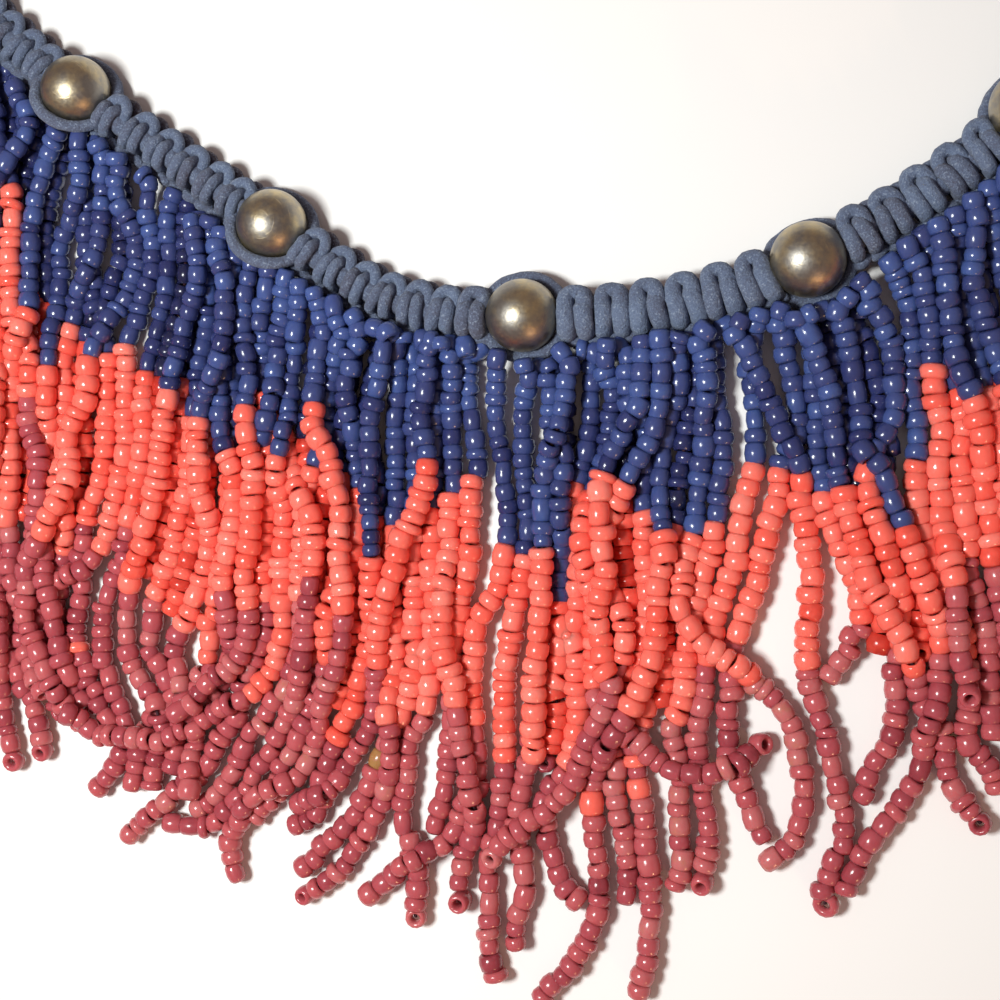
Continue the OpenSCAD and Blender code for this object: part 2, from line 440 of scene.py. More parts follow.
# The strands that the photo shows, from left to right, in its pixels:
# layer, then the points of the navy, coral and brick stretches
chart = [
    (1,
     [(-112, -62), (-104, 10), (-98, 90), (-92, 170)],
     [(-90, 185), (-86, 260), (-80, 330), (-74, 395)],
     [(-72, 410), (-66, 490), (-58, 570), (-48, 640)]),
    (0,
     [(-92, -44), (-82, 40), (-72, 130), (-64, 205)],
     [(-62, 218), (-54, 290), (-50, 360), (-46, 430)],
     [(-44, 445), (-36, 520), (-30, 590), (-26, 670)]),
    (1,
     [(-66, -14), (-56, 60), (-44, 130), (-36, 190)],
     [(-34, 204), (-26, 270), (-22, 340), (-18, 410)],
     [(-16, 424), (-12, 500), (-4, 580), (2, 650), (4, 705), (15, 763)]),
    (2,
     [(-40, 14), (-24, 70), (-6, 130), (4, 175)],
     [(8, 190), (14, 250), (12, 300), (24, 345), (30, 388)],
     [(27, 405), (38, 437), (45, 480), (33, 510), (38, 545), (50, 580), (54, 640), (58, 690)]),
    (0,
     [(-20, 50), (-14, 110), (-12, 180), (-16, 240)],
     [(-16, 254), (-14, 320), (-10, 390), (-8, 450)],
     [(-8, 465), (-6, 530), (-4, 600), (-10, 680)]),
    (3,
     [(14, 90), (33, 120), (22, 142), (6, 160), (-10, 200), (-14, 250)],
     [(-14, 264), (-8, 330), (-2, 400), (-6, 460)],
     [(-8, 474), (-14, 540), (-22, 600), (-32, 680)]),
    (2,
     [(57, 133), (50, 150), (46, 172), (36, 195), (33, 222), (28, 245), (25, 275), (27, 298)],
     [(22, 315), (14, 338), (12, 362), (8, 400), (8, 450), (8, 492), (10, 515)],
     [(8, 535), (10, 560), (18, 592), (22, 625), (30, 655), (46, 672), (62, 690)]),
    (1,
     [(80, 140), (80, 160), (84, 182), (78, 205), (66, 226), (60, 250), (57, 285), (52, 320), (45, 350),
      (44, 368)],
     [(46, 382), (47, 402), (52, 430), (50, 470), (48, 500)],
     [(44, 520), (36, 548), (20, 575), (6, 610), (2, 645), (12, 668), (28, 690), (40, 715), (42, 745),
      (45, 763)]),
    (1,
     [(104, 144), (104, 180), (104, 215), (96, 250), (88, 280), (77, 300), (72, 320)],
     [(68, 332), (63, 355), (62, 385), (58, 405), (60, 430), (66, 470), (62, 510), (62, 543)],
     [(60, 558), (52, 580), (52, 620), (56, 650), (62, 690), (74, 715)]),
    (0,
     [(97, 142), (88, 170), (86, 215), (90, 260), (100, 310), (108, 345)],
     [(108, 360), (107, 385), (111, 402), (105, 432), (106, 468), (95, 495), (85, 515)],
     [(82, 535), (80, 560), (85, 592), (80, 610), (77, 632), (80, 660), (85, 675), (92, 692), (108, 708),
      (125, 718)]),
    (2,
     [(118, 158), (120, 170), (114, 190), (120, 210), (130, 235), (142, 262), (130, 280), (116, 300),
      (104, 320), (94, 341)],
     [(92, 352), (91, 370), (87, 388), (80, 408), (68, 432), (65, 455), (67, 472), (57, 497), (44, 535)],
     [(36, 550), (22, 572), (20, 600), (30, 630), (42, 660), (60, 700), (86, 724)]),
    (1,
     [(148, 172), (148, 190), (148, 210), (152, 235), (150, 262), (148, 285), (141, 310), (133, 335)],
     [(122, 345), (127, 362), (125, 378), (128, 400), (132, 425), (137, 440), (133, 466), (124, 482),
      (122, 500), (115, 525), (106, 540)],
     [(97, 553), (84, 568), (66, 575), (48, 582), (36, 610), (44, 650), (62, 690), (80, 712)]),
    (0,
     [(170, 203), (172, 225), (169, 245), (174, 270), (168, 310), (158, 350), (152, 368)],
     [(150, 382), (152, 410), (152, 440), (146, 480), (142, 520)],
     [(138, 545), (118, 570), (104, 610), (104, 660), (112, 700), (128, 740), (120, 760), (96, 790)]),
    (3,
     [(196, 220), (196, 232), (195, 250), (200, 268), (198, 290), (188, 314), (181, 342), (176, 360),
      (170, 380)],
     [(170, 397), (165, 415), (167, 430), (162, 445), (160, 470), (160, 488), (153, 508), (146, 530),
      (145, 555), (136, 568), (131, 583)],
     [(130, 594), (127, 610), (126, 640), (128, 658), (140, 678), (154, 692), (166, 712), (160, 745),
      (150, 770), (150, 792)]),
    (1,
     [(209, 222), (204, 250), (205, 280), (209, 310), (206, 345), (200, 375), (190, 400)],
     [(188, 415), (186, 450), (184, 490), (177, 520), (171, 540), (165, 562), (159, 590)],
     [(158, 602), (154, 620), (150, 636), (150, 655), (166, 668), (177, 690), (180, 715), (172, 745),
      (168, 770)]),
    (2,
     [(222, 232), (218, 245), (226, 275), (225, 305), (224, 335), (218, 362), (212, 382), (204, 404)],
     [(200, 418), (197, 435), (200, 450), (195, 468), (200, 500), (204, 520), (208, 545), (196, 567),
      (190, 590), (184, 615), (179, 628)],
     [(175, 640), (172, 656), (178, 675), (186, 700), (196, 730), (196, 765), (186, 800)]),
    (1,
     [(234, 246), (232, 290), (228, 340), (222, 390), (223, 445)],
     [(228, 462), (234, 478), (230, 495), (236, 520), (226, 550), (216, 568), (222, 586)],
     [(225, 602), (230, 620), (238, 640), (232, 666), (213, 677), (205, 690), (192, 700), (178, 712),
      (160, 722), (145, 745), (134, 790)]),
    (0,
     [(241, 252), (239, 300), (236, 350), (234, 400), (236, 440)],
     [(238, 470), (238, 520), (227, 560), (217, 600), (212, 630), (214, 655)],
     [(212, 668), (206, 690), (196, 706)]),
    (3,
     [(250, 262), (248, 282), (244, 300), (244, 320), (246, 345), (248, 375), (246, 406)],
     [(247, 420), (248, 437), (254, 452), (254, 480), (254, 500), (250, 520), (251, 538), (245, 560),
      (243, 578), (249, 605)],
     [(255, 618), (246, 638), (236, 655), (230, 668), (214, 678), (200, 694), (186, 706), (168, 716)]),
    (2,
     [(272, 272), (266, 290), (260, 305), (256, 322), (256, 345), (254, 370), (256, 388)],
     [(262, 398), (270, 412), (276, 430), (284, 446), (290, 468), (306, 486), (313, 505), (315, 540),
      (312, 578)],
     [(310, 590), (312, 610), (309, 640), (304, 672), (301, 692), (290, 712), (282, 738), (266, 758),
      (250, 780), (246, 810), (218, 816), (196, 822), (180, 824), (166, 824)]),
    (2,
     [(286, 282), (284, 320), (276, 370), (268, 410), (262, 440)],
     [(262, 455), (266, 500), (268, 540), (270, 590)],
     [(270, 605), (264, 640), (254, 672), (242, 700), (228, 728), (217, 746), (207, 762), (194, 774),
      (179, 786), (166, 797), (156, 812), (142, 822), (125, 840)]),
    (3,
     [(295, 284), (297, 300), (297, 316), (291, 335), (292, 362), (288, 388), (286, 420), (278, 448)],
     [(276, 470), (282, 488), (285, 508), (283, 530), (281, 560), (282, 590), (286, 616), (292, 630),
      (283, 645), (274, 668), (258, 682), (246, 692)],
     [(235, 700), (218, 710), (205, 722), (188, 732), (168, 738), (148, 740), (128, 738), (112, 736),
      (96, 730), (80, 722), (60, 710)]),
    (2,
     [(322, 290), (324, 300), (322, 325), (320, 345), (314, 372), (312, 400)],
     [(315, 420), (313, 436), (322, 450), (330, 474), (340, 495), (340, 520), (341, 542), (338, 568),
      (337, 590), (333, 608)],
     [(336, 622), (336, 645), (336, 662), (330, 685), (320, 705), (318, 738), (313, 758), (300, 775),
      (280, 785), (262, 795), (240, 800), (226, 830), (232, 855), (238, 880)]),
    (1,
     [(340, 300), (343, 340), (336, 380), (326, 420), (318, 455)],
     [(320, 472), (312, 500), (303, 530), (300, 560), (306, 590)],
     [(308, 605), (312, 640), (306, 668), (290, 690), (272, 706), (262, 722), (250, 738), (238, 760),
      (228, 790), (210, 812), (196, 818)]),
    (1,
     [(360, 312), (356, 335), (353, 352), (346, 378), (344, 400), (350, 440), (354, 475)],
     [(355, 492), (357, 520), (353, 555), (346, 580), (334, 605), (327, 630), (328, 655)],
     [(320, 675), (314, 700), (300, 730), (290, 760), (282, 790), (262, 800), (244, 812)]),
    (3,
     [(382, 316), (386, 335), (386, 355), (380, 378), (373, 402), (369, 430), (370, 460), (368, 490),
      (371, 515), (370, 553)],
     [(367, 570), (371, 586), (361, 604), (362, 625), (364, 650), (357, 676), (353, 696), (346, 718),
      (336, 738)],
     [(328, 756), (322, 770), (330, 792), (316, 808), (300, 820), (287, 825)]),
    (1,
     [(400, 318), (400, 345), (399, 372), (404, 390), (396, 410), (397, 435), (397, 465), (396, 490),
      (394, 515)],
     [(392, 530), (390, 560), (386, 590), (390, 620), (392, 655), (394, 690), (392, 720)],
     [(392, 738), (388, 770), (384, 800), (370, 820), (355, 842), (352, 860), (330, 880), (312, 893),
      (296, 898)]),
    (3,
     [(440, 320), (434, 338), (426, 360), (426, 388), (420, 415), (426, 435), (428, 453)],
     [(427, 464), (430, 480), (422, 495), (412, 512), (408, 530), (396, 556), (388, 575), (382, 602),
      (379, 625), (380, 652)],
     [(378, 668), (378, 690), (376, 715), (369, 735), (355, 755), (342, 770), (333, 788), (318, 800),
      (306, 812), (298, 822)]),
    (0,
     [(415, 322), (413, 360), (414, 400), (414, 440), (417, 480), (422, 512)],
     [(424, 530), (421, 560), (419, 598), (422, 625), (420, 660), (422, 690), (420, 705)],
     [(418, 722), (409, 740), (403, 765), (399, 790), (403, 815), (411, 843), (416, 868), (418, 893),
      (415, 925)]),
    (0,
     [(432, 326), (440, 370), (438, 420), (436, 460), (434, 500)],
     [(432, 520), (434, 570), (430, 620), (412, 670), (400, 710)],
     [(398, 728), (386, 760), (378, 790), (362, 812), (344, 832), (326, 842), (316, 858), (300, 870)]),
    (1,
     [(456, 322), (454, 360), (452, 410), (450, 455), (448, 490)],
     [(447, 503), (443, 522), (445, 550), (441, 590), (444, 630), (444, 660), (453, 682), (455, 700)],
     [(462, 713), (460, 728), (468, 745), (472, 765), (470, 790), (473, 812), (466, 838), (465, 857),
      (459, 874), (464, 892), (459, 912)]),
    (0,
     [(470, 340), (467, 370), (464, 400), (474, 430), (478, 460)],
     [(477, 477), (470, 494), (467, 512), (461, 545), (458, 580), (456, 620), (454, 655), (456, 690)],
     [(454, 708), (451, 740), (447, 772), (446, 790), (440, 810), (436, 835)]),
    (1,
     [(497, 358), (497, 385), (496, 410), (498, 438), (505, 465), (508, 500), (507, 530)],
     [(508, 547), (511, 562), (499, 580), (496, 596), (484, 612), (473, 635), (470, 655), (466, 690),
      (470, 722)],
     [(473, 740), (472, 760), (478, 790), (470, 820), (452, 842), (420, 850), (402, 868), (384, 885),
      (360, 900)]),
    (2,
     [(526, 358), (526, 385), (523, 410), (525, 440), (522, 460), (525, 490), (529, 515), (528, 545)],
     [(524, 556), (526, 575), (520, 602), (513, 622), (510, 650), (504, 682), (506, 705), (503, 748)],
     [(503, 768), (508, 795), (498, 815), (494, 840), (489, 868), (488, 905), (489, 940), (495, 980)]),
    (3,
     [(565, 346), (568, 368), (564, 392), (560, 415), (553, 440), (547, 470), (549, 500), (547, 530),
      (543, 545)],
     [(543, 560), (540, 580), (540, 612), (537, 632), (539, 650), (537, 675), (535, 715), (533, 748)],
     [(533, 762), (524, 780), (515, 800), (511, 825), (520, 850), (528, 875), (525, 900), (514, 920),
      (516, 950)]),
    (0,
     [(545, 354), (552, 380), (556, 420), (560, 470), (562, 520), (561, 560), (561, 598)],
     [(561, 612), (566, 635), (567, 660), (567, 690), (571, 718), (572, 742), (569, 762)],
     [(556, 780), (548, 805), (544, 830), (552, 850), (560, 875), (562, 888), (582, 902)]),
    (0,
     [(588, 338), (592, 370), (591, 400), (592, 430), (586, 455), (580, 475)],
     [(577, 490), (578, 520), (576, 560), (574, 590), (568, 620), (562, 655), (556, 690)],
     [(550, 705), (546, 725), (540, 750)]),
    (2,
     [(604, 340), (606, 368), (612, 385), (613, 412), (611, 440), (604, 462), (590, 480)],
     [(581, 492), (580, 512), (577, 530), (584, 548), (583, 575), (586, 603), (588, 630), (588, 652),
      (597, 668), (597, 682)],
     [(600, 697), (608, 712), (620, 726), (632, 740), (648, 752), (664, 768), (680, 776), (700, 778),
      (720, 774), (738, 764), (750, 752), (768, 740)]),
    (3,
     [(648, 345), (645, 368), (640, 384), (634, 408), (626, 428), (618, 444), (608, 460)],
     [(600, 476), (602, 500), (598, 530), (600, 570), (602, 600), (606, 630), (612, 650), (616, 675)],
     [(615, 695), (606, 728), (590, 745), (578, 766), (562, 790), (545, 812), (528, 822), (514, 834),
      (498, 846), (488, 862)]),
    (2,
     [(662, 338), (660, 372), (658, 410), (648, 440), (636, 462), (627, 478)],
     [(618, 490), (618, 506), (613, 520), (606, 545), (607, 575), (620, 600), (622, 632), (620, 652)],
     [(620, 672), (612, 700), (606, 735), (610, 765), (616, 800), (624, 830), (628, 860), (627, 885),
      (626, 905)]),
    (0,
     [(624, 338), (630, 380), (636, 420), (640, 460), (640, 500)],
     [(632, 530), (634, 555), (645, 568), (638, 582), (650, 600), (640, 640), (640, 680), (634, 712)],
     [(632, 735), (636, 762), (640, 790), (646, 820), (646, 850), (650, 885), (650, 920), (648, 960),
      (640, 978), (638, 996)]),
    (3,
     [(672, 336), (673, 355), (684, 375), (680, 400), (671, 425), (666, 455), (661, 485), (664, 522)],
     [(669, 536), (667, 558), (669, 576), (660, 600), (660, 635), (651, 658), (644, 684), (632, 702)],
     [(626, 718), (604, 738), (592, 770), (590, 800), (594, 830), (600, 860), (602, 890), (598, 920),
      (584, 945), (572, 968), (552, 985), (540, 1000)]),
    (1,
     [(700, 326), (702, 350), (709, 380), (705, 410), (700, 440), (697, 465), (690, 495), (686, 517)],
     [(682, 535), (678, 560), (672, 585), (674, 606), (690, 626), (704, 650), (722, 658), (742, 668)],
     [(754, 682), (768, 692), (784, 708), (795, 730), (800, 755), (805, 785), (804, 812), (798, 835),
      (782, 853), (762, 862)]),
    (0,
     [(716, 316), (712, 345), (712, 380), (716, 410), (723, 440), (722, 475), (717, 512)],
     [(717, 527), (711, 545), (702, 560), (694, 585), (688, 620), (678, 655), (676, 685), (668, 712)],
     [(672, 728), (678, 748), (680, 785), (680, 815), (682, 845), (681, 870), (676, 890)]),
    (3,
     [(733, 314), (742, 335), (750, 360), (760, 385), (775, 412), (787, 438), (800, 472)],
     [(805, 488), (801, 502), (806, 525), (809, 545), (806, 560), (813, 580), (812, 605), (807, 635),
      (806, 665)],
     [(808, 683), (816, 705), (827, 728), (829, 750), (836, 785), (844, 810), (847, 838), (834, 864),
      (826, 885), (825, 912)]),
    (1,
     [(755, 308), (756, 325), (750, 350), (748, 378), (754, 400), (757, 430), (757, 447)],
     [(757, 463), (748, 485), (742, 508), (739, 535), (737, 558), (729, 580), (720, 604), (712, 625),
      (705, 650)],
     [(700, 670), (699, 700), (698, 735), (697, 765), (703, 790), (708, 818), (709, 845), (705, 868),
      (700, 890)]),
    (1,
     [(776, 306), (782, 325), (785, 350), (792, 380), (798, 410), (794, 440), (788, 468)],
     [(782, 485), (774, 508), (767, 530), (763, 555), (760, 580), (751, 602), (742, 620), (737, 640)],
     [(733, 660), (735, 688), (727, 712), (728, 738), (736, 765), (744, 790), (752, 815), (766, 842)]),
    (2,
     [(800, 302), (806, 330), (818, 358), (830, 385), (834, 410), (838, 440), (843, 475)],
     [(845, 490), (849, 508), (858, 530), (864, 555), (872, 578), (886, 600), (898, 620), (908, 645),
      (913, 662)],
     [(919, 678), (928, 700), (932, 725), (938, 750), (948, 775), (960, 798), (974, 818), (988, 830)]),
    (0,
     [(812, 300), (812, 340), (816, 390), (818, 440), (820, 485)],
     [(828, 502), (838, 530), (848, 560), (862, 590), (874, 615), (876, 628)],
     [(864, 628), (850, 642), (840, 662), (824, 680)]),
    (3,
     [(838, 290), (841, 318), (846, 345), (854, 375), (859, 405), (862, 430), (872, 465), (884, 492),
      (895, 520)],
     [(906, 532), (910, 552), (914, 576), (920, 595), (932, 620), (944, 648)],
     [(938, 664), (934, 690), (934, 720), (930, 750), (920, 775), (906, 798), (886, 824), (864, 846),
      (849, 874), (836, 892)]),
    (1,
     [(858, 278), (868, 298), (880, 318), (890, 342), (903, 366), (902, 390), (890, 415), (880, 435),
      (866, 458)],
     [(864, 480), (874, 515), (884, 542), (890, 560), (902, 585), (896, 615), (898, 640)],
     [(896, 665), (896, 690), (898, 715), (892, 738), (878, 760), (866, 782), (862, 800)]),
    (1,
     [(890, 262), (904, 290), (914, 320), (911, 350), (908, 385), (916, 410), (918, 455)],
     [(918, 468), (920, 492), (926, 515), (934, 535), (939, 562), (952, 592), (962, 620), (972, 650)],
     [(972, 668), (974, 700), (966, 725), (962, 740), (975, 748), (988, 768), (1002, 792)]),
    (2,
     [(912, 246), (920, 268), (930, 300), (938, 330), (936, 364)],
     [(932, 380), (942, 400), (954, 418), (950, 450), (944, 480), (944, 510), (936, 550), (950, 580)],
     [(956, 600), (958, 640), (966, 670), (972, 690), (966, 708)]),
    (3,
     [(938, 226), (944, 250), (942, 285), (950, 315), (954, 350), (964, 388)],
     [(974, 398), (978, 425), (985, 450), (990, 480), (994, 520), (1000, 560)],
     [(1006, 580), (1012, 640), (1016, 700), (1018, 760), (1020, 800)]),
    (1,
     [(925, 236), (934, 262), (936, 300), (946, 345), (952, 385)],
     [(956, 404), (962, 430), (961, 470), (960, 500), (964, 530), (964, 548)],
     [(965, 560), (970, 590), (980, 620), (992, 650), (990, 700), (1000, 740)]),
    (2,
     [(955, 215), (960, 245), (962, 285), (966, 320), (976, 352), (986, 386)],
     [(996, 400), (1004, 440), (1010, 490), (1014, 540), (1018, 590)],
     [(1022, 605), (1030, 660), (1036, 720), (1040, 790)]),
    (3,
     [(974, 200), (976, 235), (972, 262), (976, 292), (992, 330), (1004, 370)],
     [(1010, 390), (1020, 440), (1030, 500), (1040, 560)],
     [(1044, 580), (1052, 640), (1058, 700), (1066, 770)]),
    (1,
     [(990, 188), (988, 230), (1000, 270), (1012, 310), (1020, 350)],
     [(1026, 370), (1036, 430), (1046, 490), (1056, 540)],
     [(1060, 556), (1068, 620), (1078, 680), (1088, 740)]),
    (2,
     [(1006, 178), (1012, 220), (1024, 262), (1038, 310), (1046, 340)],
     [(1050, 356), (1062, 420), (1072, 480), (1080, 530)],
     [(1084, 545), (1094, 610), (1104, 670), (1114, 730)]),
]

# The fringe, in mm

fringe = {
    "bead": 2.5,              # across a seed bead
    "hole": 0.8,
    "length": 1.62,           # of a bead along the strand, on average
    "lengthSpread": 0.33,
    "lengths": (1.0, 2.3),    # the shortest and the longest
    "overlap": 1.13,          # how far neighbours close up, so that no gap shows between them
    "tubeShare": 0.055,       # share of beads that are longer tubes
    "tubes": (2.1, 2.6),
    "widths": (0.98, 1.12, 1.04),   # of navy, coral and brick beads, as shares of "bead"
    "widthSpread": 0.07,
    "squat": 0.09,            # how much wider a bead is for each mm that it is shorter
    "lean": 0.105,            # how far a bead tilts on its thread
    "loose": 0.1,             # how far it sits off its thread
    "turned": (0.3, 0.2),     # how far one that shows its hole follows its thread, and leans
    "fine": (12, 8),          # sides round the hole and round the wall, in the picture
    "coarse": (8, 6),         # outside the picture, and of strands that lie under others
    "thread": 0.2,            # radius of the thread
    "threadStart": 2.0,       # its height under the band
    "layerStep": 1.7,         # from one layer of strands to the next
    "edge": 3.75,             # from the band's middle line to the first bead
    "swing": 1.85,            # how much further out that is at a brass bead
    "pointStep": 0.4,         # between the points of a charted strand
    "smoothing": 14,          # rounds over these points
}
lowerStrands = {
    "gap": 2.4,               # a wider gap between two strands has others under it, up to
    "widestGap": 14.0,        # this one
    "brick": 1.0,             # of brick beads on such a strand
    "height": 1.5,            # to its middle
    "tone": -0.3,             # painted shade: how much darker its beads are drawn, for the shade under the strands above
    "openPixels": 9,          # from a gap that the table shows through
}
sideStrands = {
    "from": (-91.5, 53.5),    # along the band, where the charted strands end on the left and right
    "end": 134.0,
    "pitch": 2.5,
    "layers": 3,
    "layerStep": 0.8,
    "tuck": 0.4,              # how far they begin under the band's edge
    "stretches": (20.5, 23.0, 24.0),   # of navy, coral and brick
    "stretchSpread": (0.8, 1.2),       # of the ends of the first two
    "leanSpread": (3, 6, 9),  # degrees
    "sway": (4, 9, 14),       # degrees
    "swayWave": 3.1,
    "turn": 0.3,              # how fast a strand takes a new direction
    "turnedShare": 0.3,       # of the end beads that show their hole
}
beadTones = {
    "middle": 0.5,
    "beadSpread": 0.135,
    "strandSpread": 0.06,
    "range": (0.2, 0.8),
    "rootPaintedLight": 0.22,        # painted light: how much lighter the navy beads by the band are drawn, for the brighter light on them
    "rootBeads": 5,
    "tanShare": 0.003,        # of the brick beads outside the picture
}
settling = {
    "steps": 150,
    "jitter": 0.02,           # of the charted places
    "search": 6,              # steps from one search for close beads to the next
    "close": 1.2,             # how near they are to count, in widths of the widest bead
    "body": 0.93,             # share of a bead's width that pushes others away
    "air": 0.02,              # between neighbours on a thread, and under a bead
    "rootRise": 1.1,          # the first beads start this much over their layer
    "rootHeights": (2.5, 4.3),   # but within these heights
    "rootBeads": 14,          # beads until the strand is down at its layer
    "toRoot": 0.15,           # this and the next are shares of the way, in one step
    "toChart": 0.08,
    "push": 0.4,
    "pushSideways": 0.55,     # as a share of the push up or down
    "straighten": 0.4,
    "offBand": 0.6,
    "bandBeads": 6,           # beads of a strand that can touch the band
    "fall": 0.12,             # in one step
}

# Pixels of beads that show their hole
turnedAt = [
    (60, 710), (45, 763), (15, 763), (296, 898), (459, 912),
    (488, 862), (747, 716), (768, 740), (700, 890), (988, 830), (967, 708), (415, 925), (825, 912)
]
# and of beads that have another colour than their neighbours: 1 coral, 2 brick, 3 tan
oddAt = [(82, 645, 1), (590, 800, 1), (640, 765, 1), (640, 780, 1), (376, 765, 3)]

# Pixels of gaps that the table shows through
openGaps = [
    (240, 264), (264, 339), (121, 437), (102, 507), (143, 489), (226, 543),
    (388, 395), (385, 445), (590, 452), (484, 520), (480, 600), (490, 680), (514, 586), (521, 678),
    (602, 650), (640, 612), (658, 540), (737, 370), (740, 440), (872, 330), (868, 390), (790, 560),
    (965, 255), (905, 480), (850, 600), (840, 700), (870, 700), (97, 185), (91, 224),
    (938, 437), (900, 457), (700, 528), (480, 546), (487, 666), (837, 620), (709, 590), (717, 690),
    (822, 540), (823, 580), (824, 625)
]

# How the strands outside the picture hang: [place along the band, lean of navy, coral and brick]
sideHang = [
    [-135, -50, -42, -36], [-112, -26, -22, -18], [-92, 4, 4, 4],
    [50, 12, 9, 7], [80, 22, 18, 15], [104, 34, 29, 25], [135, 50, 43, 37]
]
# and how they bunch: [degrees, mm from bunch to bunch / 2 pi, start] for navy, coral and brick
bunching = [[6, 1.7, 2], [8, 2.3, 0], [14, 2.9, 1]]


# One bead, modelled once in mm: a ring drawn out along its hole
def modelSeed(sides, rounds):
    bpy.ops.object.select_all(action="DESELECT")
    wall = (fringe["bead"] - fringe["hole"]) / 4
    middle = fringe["hole"] / 2 + wall
    bpy.ops.mesh.primitive_torus_add(
        major_segments=sides, minor_segments=rounds, major_radius=middle, minor_radius=wall)
    seed = bpy.context.object
    bpy.ops.object.mode_set(mode="EDIT")
    bpy.ops.mesh.select_all(action="SELECT")
    bpy.ops.transform.resize(value=(1, 1, fringe["length"] / 2 / wall * fringe["overlap"]))
    bpy.ops.object.mode_set(mode="OBJECT")
    points = np.array([point.co[:] for point in seed.data.vertices])
    faces = np.array([face.vertices[:] for face in seed.data.polygons])
    bpy.data.objects.remove(seed)
    return points, faces


# The points of a line at these lengths along it
def pointsAlong(line, places):
    length = lengthAlong(line)
    return np.stack([np.interp(places, length, line[:, k]) for k in range(line.shape[1])], axis=-1)


# Lengths of the beads that fill a strand
def beadLengths(total):
    lengths = []
    while sum(lengths) < total:
        size = np.clip(rng.normal(fringe["length"], fringe["lengthSpread"]), *fringe["lengths"])
        if rng.random() < fringe["tubeShare"]:
            size = rng.uniform(*fringe["tubes"])
        lengths.append(size)
    if len(lengths) > 1 and sum(lengths) - total > lengths[-1] / 2:
        lengths.pop()
    return np.array(lengths)


# Distance from the band's middle line to the strands' first beads
def edgeAt(s):
    return fringe["edge"] + fringe["swing"] * nearBead(s, 1.5, 6.0)


def layerHeight(layer):
    return fringe["bead"] / 2 + layer * fringe["layerStep"]


# A strand is a line of [x, y, and how both change with height], the height that it starts
# from, and the places where its colours change
def makeStrand(line, layer, ends, fine, under=False):
    height = layerHeight(layer)
    return {"line": line, "height": height, "ends": np.array(ends), "fine": fine, "under": under}


# A strand charted on the photo, begun at the band and smoothed
def chartedStrand(row):
    layer, *stretches = row
    pixels = np.array(sum(stretches, []), float)
    height = layerHeight(layer)
    flat = fromPhoto(pixels[:, 0], pixels[:, 1], np.full(len(pixels), height))
    higher = fromPhoto(pixels[:, 0], pixels[:, 1], np.full(len(pixels), height + 1.0))
    line = np.concatenate([flat, higher - flat], axis=1)
    samples = np.arange(-90, 90, 0.5)
    near = samples[np.argmin(((onBand(samples) - flat[0]) ** 2).sum(axis=1))]
    missing = (flat[0] - onBand(near)) @ outOfBand(near) - edgeAt(near)
    if missing > 0.5:
        first = line[0].copy()
        first[:2] -= outOfBand(near) * missing
        line = np.concatenate([[first], line])
    reach = lengthAlong(line)
    change = np.cumsum([len(stretch) for stretch in stretches[:2]]) + len(line) - len(pixels)
    ends = (reach[change - 1] + reach[change]) / 2 / reach[-1]
    fineLine = pointsAlong(line, np.linspace(0, reach[-1], int(reach[-1] / fringe["pointStep"])))
    for _ in range(fringe["smoothing"]):
        fineLine[1:-1] = (fineLine[:-2] + 2 * fineLine[1:-1] + fineLine[2:]) / 4
    return makeStrand(fineLine, layer, ends * lineLength(fineLine), True)


# A strand outside the picture, from its place along the band, in steps of 1 mm
def sideStrand(s, layer):
    hang = np.array(sideHang, float)
    points = [onBand(s) + (edgeAt(s) - sideStrands["tuck"]) * outOfBand(s)]
    heading, phase = None, rng.uniform(0, 6.28, 3)
    for k, length in enumerate(sideStrands["stretches"]):
        size, wave, start = bunching[k]
        lean = np.interp(s, hang[:, 0], hang[:, k + 1]) + size * math.sin(s / wave + start)
        lean += rng.normal(0, sideStrands["leanSpread"][k])
        for step in range(int(length)):
            sway = sideStrands["sway"][k] * math.sin(step / sideStrands["swayWave"] + phase[k])
            wanted = math.radians(lean + sway)
            heading = wanted if heading is None else heading + sideStrands["turn"] * (wanted - heading)
            points.append(points[-1] + np.array([math.sin(heading), -math.cos(heading)]))
    line = np.concatenate([np.array(points), np.zeros((len(points), 2))], axis=1)
    ends = np.cumsum(sideStrands["stretches"][:2]) + rng.normal(0, sideStrands["stretchSpread"])
    return makeStrand(line, layer, ends, False)


# A strand that lies under its neighbours, at a share of the way from one to the other
def strandBetween(a, b, share):
    lines = [pointsAlong(s["line"], np.linspace(0, lineLength(s["line"]), 120)) for s in (a, b)]
    line = lines[0] + (lines[1] - lines[0]) * share
    ends = a["ends"] + (b["ends"] - a["ends"]) * share
    shown = (ends[1] + lowerStrands["brick"]) / lineLength(line) * len(line)
    return makeStrand(line[:int(shown)], 0, ends, False, True)


def isOpen(strand):
    pixels = toPhoto(np.insert(strand["line"][:, :2], 2, strand["height"], axis=1))
    nearest = min(np.linalg.norm(pixels - gap, axis=1).min() for gap in openGaps)
    return nearest < lowerStrands["openPixels"]


def layStrands():
    strands = [chartedStrand(row) for row in chart]
    ordered = sorted(strands, key=lambda strand: strand["line"][0, 0])
    for a, b in zip(ordered[:-1], ordered[1:]):
        apart = np.linalg.norm(a["line"][0, :2] - b["line"][0, :2])
        count = int(apart / lowerStrands["gap"]) if apart < lowerStrands["widestGap"] else 0
        between = [strandBetween(a, b, (k + 1) / (count + 1)) for k in range(count)]
        strands += [strand for strand in between if not isOpen(strand)]
    end, pitch = sideStrands["end"], sideStrands["pitch"]
    left, right = sideStrands["from"]
    places = np.concatenate([np.arange(-end, left, pitch), np.arange(right, end, pitch)])
    layers = np.arange(len(places)) % sideStrands["layers"] * sideStrands["layerStep"]
    return strands + [sideStrand(s, layer) for s, layer in zip(places, layers)]


